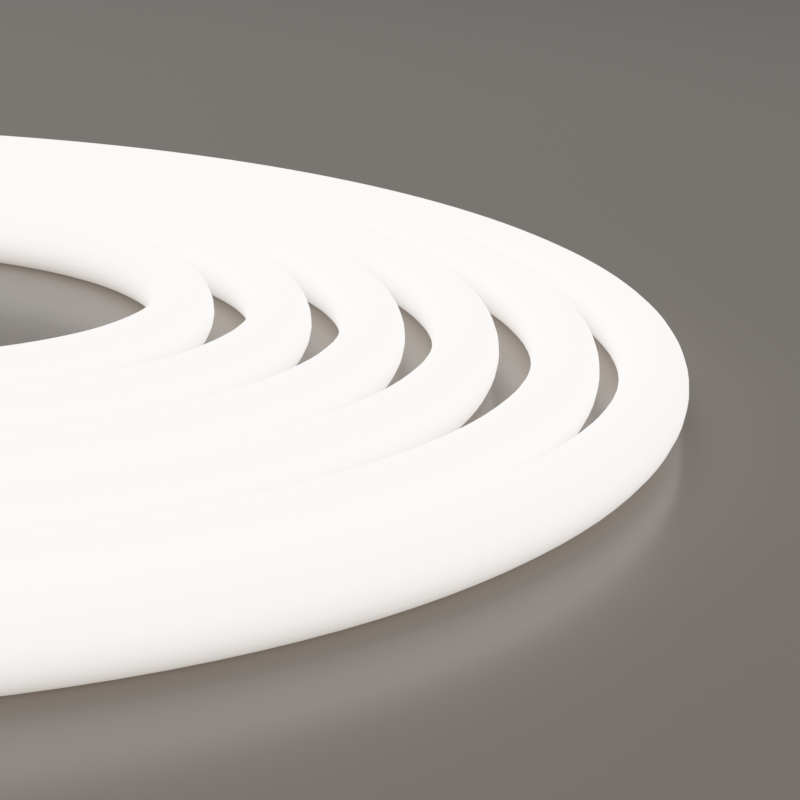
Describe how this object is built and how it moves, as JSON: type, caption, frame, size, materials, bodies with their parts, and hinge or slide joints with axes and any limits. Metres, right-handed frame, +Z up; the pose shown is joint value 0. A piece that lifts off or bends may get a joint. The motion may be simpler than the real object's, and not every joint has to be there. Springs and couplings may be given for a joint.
{
  "type": "led strip light",
  "caption": "Round opal silicone light strip wound in a flat, open spiral, with a plain end cap inside and a feed cap with a lead inlet outside.",
  "frame": {"origin": "middle of the coil's outline, on the surface that it lies on", "axes": "+Z up from that surface; +X along the outer end of the strip, which lies on the -Y side of the coil; the picture looks at the coil from its -Y side"},
  "size_m": [0.3766, 0.3902, 0.014],
  "materials": {
    "opal_silicone": "satin opal silicone, lit evenly from inside in warm white",
    "cap_silicone": "satin opaque white silicone",
    "circuit_board": "white solder mask"
  },
  "bodies": {
    "root": {"light_tube": "opal_silicone", "led_board": "circuit_board", "end_cap": "cap_silicone", "feed_cap": "cap_silicone"}
  },
  "joints": []
}
